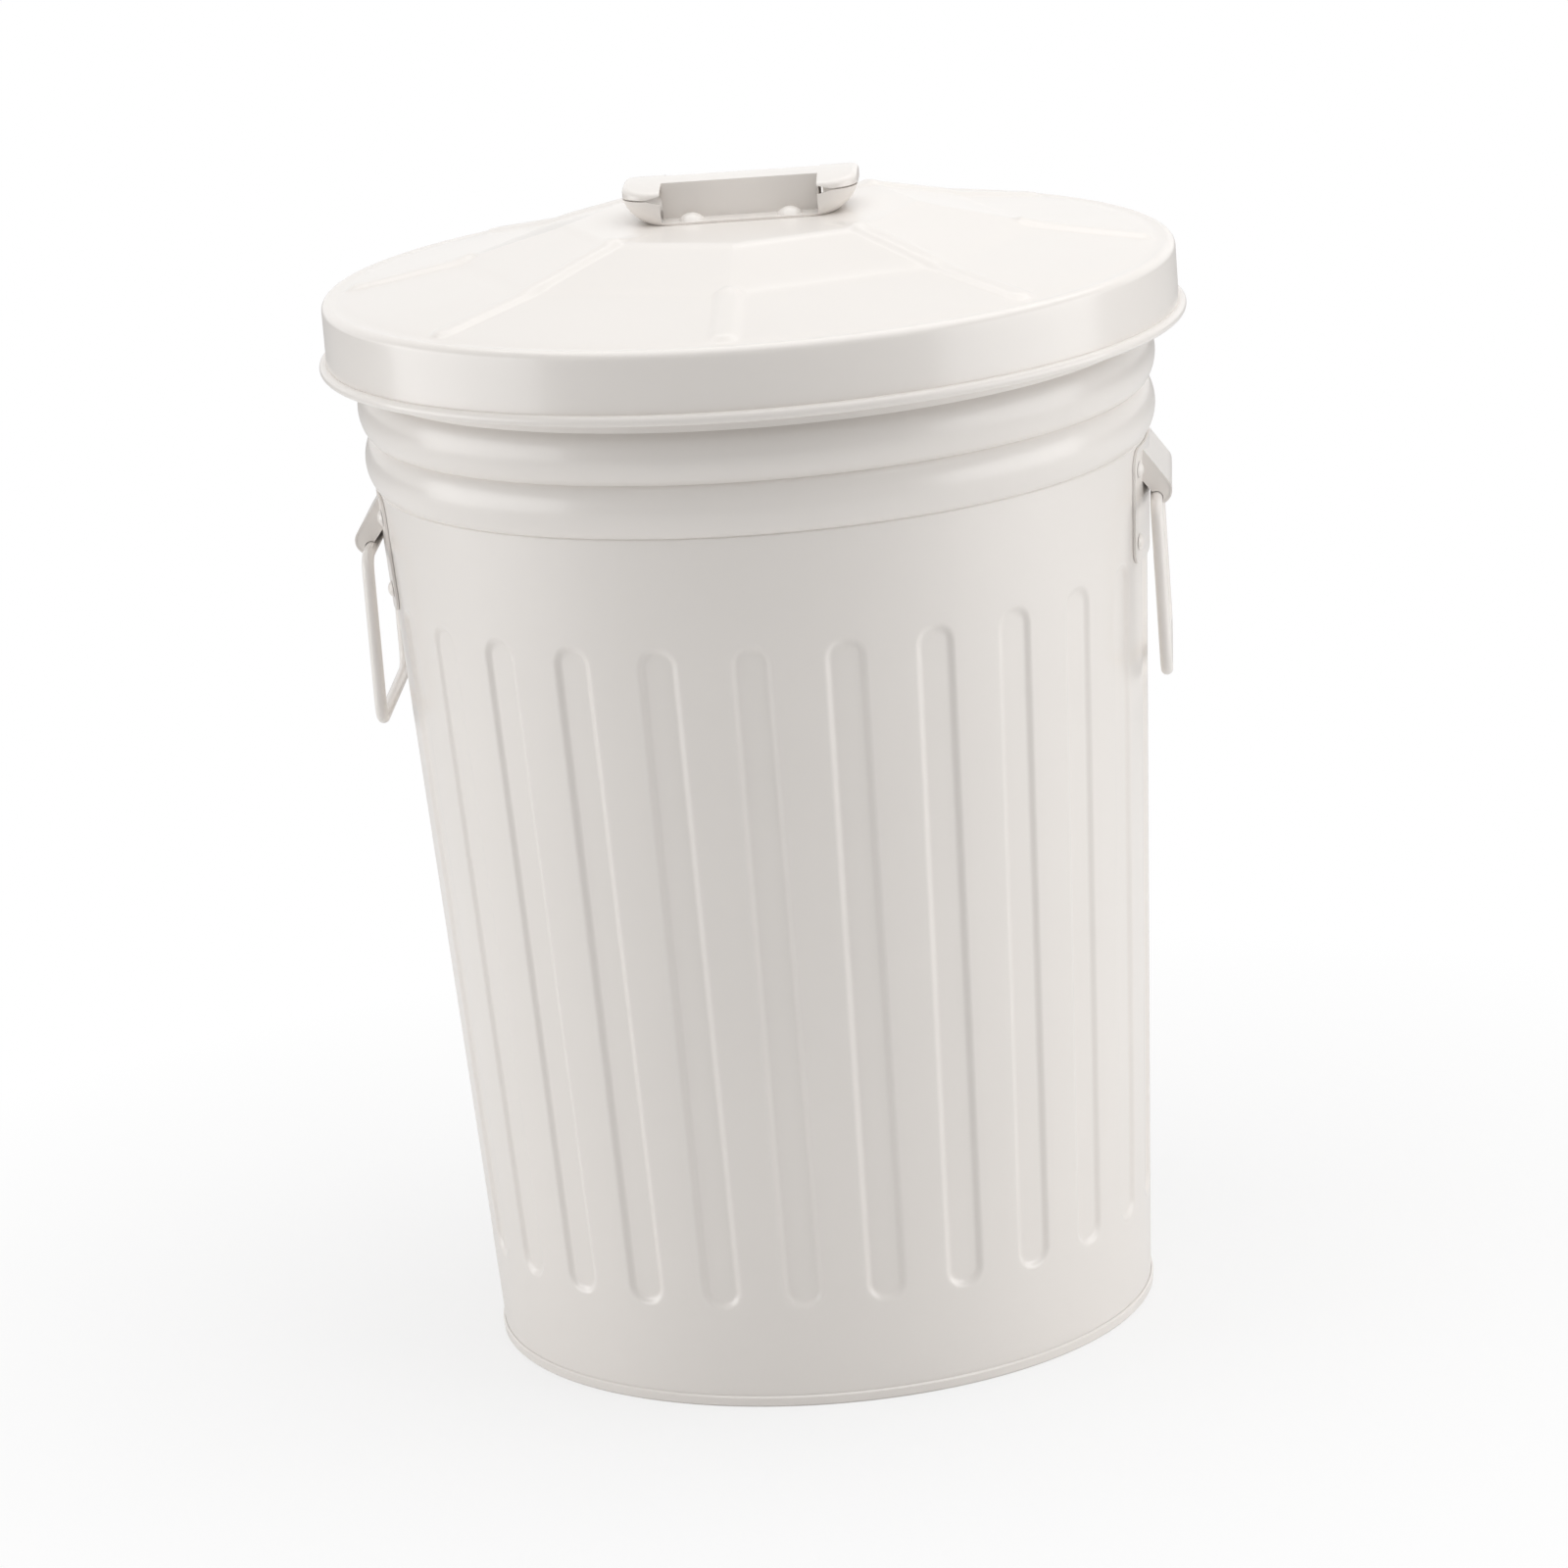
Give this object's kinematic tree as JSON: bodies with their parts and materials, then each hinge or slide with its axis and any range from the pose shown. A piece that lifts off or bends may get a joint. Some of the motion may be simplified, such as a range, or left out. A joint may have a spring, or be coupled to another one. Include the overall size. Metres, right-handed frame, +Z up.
{
  "type": "trash can with lid",
  "caption": "Round tapered steel trash can with fluted wall, rolled rim, faceted lift-off lid, pressed lid grip and two wire drop handles, coated off-white.",
  "frame": {"origin": "middle of the foot, on the floor", "axes": "+Z up, the side handles at -X and +X, the lid grip along X, the side seen in the picture towards -Y"},
  "size_m": [0.356, 0.356, 0.483],
  "materials": {
    "off_white_coat": "smooth satin-gloss powder coat, warm off-white",
    "bare_wire": "plain drawn steel wire, hidden inside the curled edges"
  },
  "bodies": {
    "bin": {"body_shell": "off_white_coat", "rim_wire": "bare_wire", "base_pan": "off_white_coat", "left_handle_plate": "off_white_coat", "right_handle_plate": "off_white_coat", "left_plate_rivets": "off_white_coat", "right_plate_rivets": "off_white_coat"},
    "lid": {"lid_shell": "off_white_coat", "lid_edge_wire": "bare_wire", "lid_handle_tray": "off_white_coat", "lid_handle_grip": "off_white_coat", "lid_handle_rivets": "off_white_coat", "lid_handle_washers": "off_white_coat"},
    "left_bail": {"left_bail": "off_white_coat"},
    "right_bail": {"right_bail": "off_white_coat"}
  },
  "joints": [
    {"name": "lid_lift", "type": "slide", "parent": "bin", "child": "lid", "axis": [0, 0, 1], "range_m": [0, 0.12]},
    {"name": "left_bail_swing", "type": "hinge", "parent": "bin", "child": "left_bail", "pos_m": [-0.16107, 0, 0.3435], "axis": [0, 1, 0], "range_deg": [-4, 150]},
    {"name": "right_bail_swing", "type": "hinge", "parent": "bin", "child": "right_bail", "pos_m": [0.16107, 0, 0.3435], "axis": [0, -1, 0], "range_deg": [-4, 150]}
  ]
}
